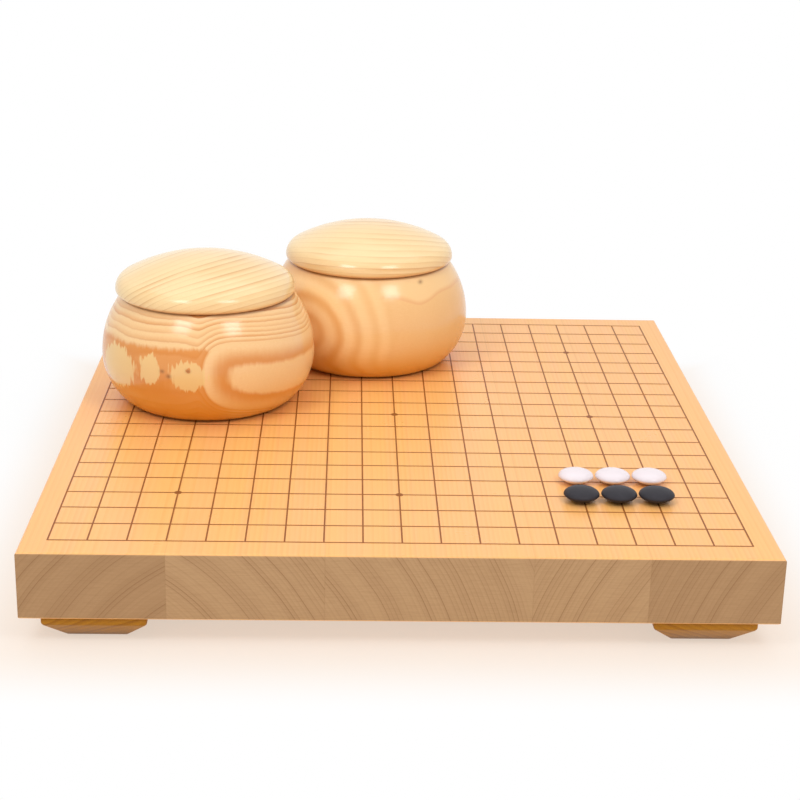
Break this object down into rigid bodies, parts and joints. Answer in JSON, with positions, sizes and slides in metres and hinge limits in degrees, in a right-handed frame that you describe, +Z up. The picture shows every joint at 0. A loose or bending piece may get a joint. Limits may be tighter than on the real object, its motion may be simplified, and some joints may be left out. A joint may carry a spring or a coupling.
{
  "type": "go board set",
  "caption": "Thick edge-glued wooden go board on low feet, with a lacquered playing grid, lidded turned bowls and lens-shaped stones.",
  "frame": {"origin": "on the table, under the middle of the board", "axes": "+Z up, +X to the right and +Y to the back as the player sees the board"},
  "size_m": [0.4262, 0.4628, 0.1576],
  "materials": {
    "board_wood": "satin lacquer over pale edge-glued spruce",
    "grid_lacquer": "matte dark brown lacquer line",
    "foot_wood": "satin golden brown",
    "dowel_wood": "bare beech",
    "bowl_wood": "polished turned pine",
    "lid_wood": "polished pale turned pine",
    "black_stone": "matte black",
    "white_stone": "polished white"
  },
  "bodies": {
    "board": {"board_plank_1": "board_wood", "board_plank_2": "board_wood", "board_plank_3": "board_wood", "board_plank_4": "board_wood", "board_plank_5": "board_wood", "grid_lines": "grid_lacquer", "foot_front_left": "foot_wood", "foot_front_right": "foot_wood", "foot_back_left": "foot_wood", "foot_back_right": "foot_wood", "foot_dowels": "dowel_wood"},
    "bowl_left": {"bowl_left": "bowl_wood", "black_stones_in_bowl": "black_stone"},
    "lid_left": {"lid_left": "lid_wood"},
    "bowl_right": {"bowl_right": "bowl_wood", "white_stones_in_bowl": "white_stone"},
    "lid_right": {"lid_right": "lid_wood"},
    "white_stone_1": {"white_stone_1": "white_stone"},
    "white_stone_2": {"white_stone_2": "white_stone"},
    "white_stone_3": {"white_stone_3": "white_stone"},
    "black_stone_1": {"black_stone_1": "black_stone"},
    "black_stone_2": {"black_stone_2": "black_stone"},
    "black_stone_3": {"black_stone_3": "black_stone"}
  },
  "joints": [
    {"name": "bowl_left_lift", "type": "slide", "parent": "board", "child": "bowl_left", "axis": [0, 0, 1], "range_m": [0, 0.1]},
    {"name": "lid_left_lift", "type": "slide", "parent": "bowl_left", "child": "lid_left", "axis": [0, 0, 1], "range_m": [0, 0.1]},
    {"name": "bowl_right_lift", "type": "slide", "parent": "board", "child": "bowl_right", "axis": [0, 0, 1], "range_m": [0, 0.1]},
    {"name": "lid_right_lift", "type": "slide", "parent": "bowl_right", "child": "lid_right", "axis": [0, 0, 1], "range_m": [0, 0.1]},
    {"name": "white_stone_1_lift", "type": "slide", "parent": "board", "child": "white_stone_1", "axis": [0, 0, 1], "range_m": [0, 0.1]},
    {"name": "white_stone_2_lift", "type": "slide", "parent": "board", "child": "white_stone_2", "axis": [0, 0, 1], "range_m": [0, 0.1]},
    {"name": "white_stone_3_lift", "type": "slide", "parent": "board", "child": "white_stone_3", "axis": [0, 0, 1], "range_m": [0, 0.1]},
    {"name": "black_stone_1_lift", "type": "slide", "parent": "board", "child": "black_stone_1", "axis": [0, 0, 1], "range_m": [0, 0.1]},
    {"name": "black_stone_2_lift", "type": "slide", "parent": "board", "child": "black_stone_2", "axis": [0, 0, 1], "range_m": [0, 0.1]},
    {"name": "black_stone_3_lift", "type": "slide", "parent": "board", "child": "black_stone_3", "axis": [0, 0, 1], "range_m": [0, 0.1]}
  ]
}
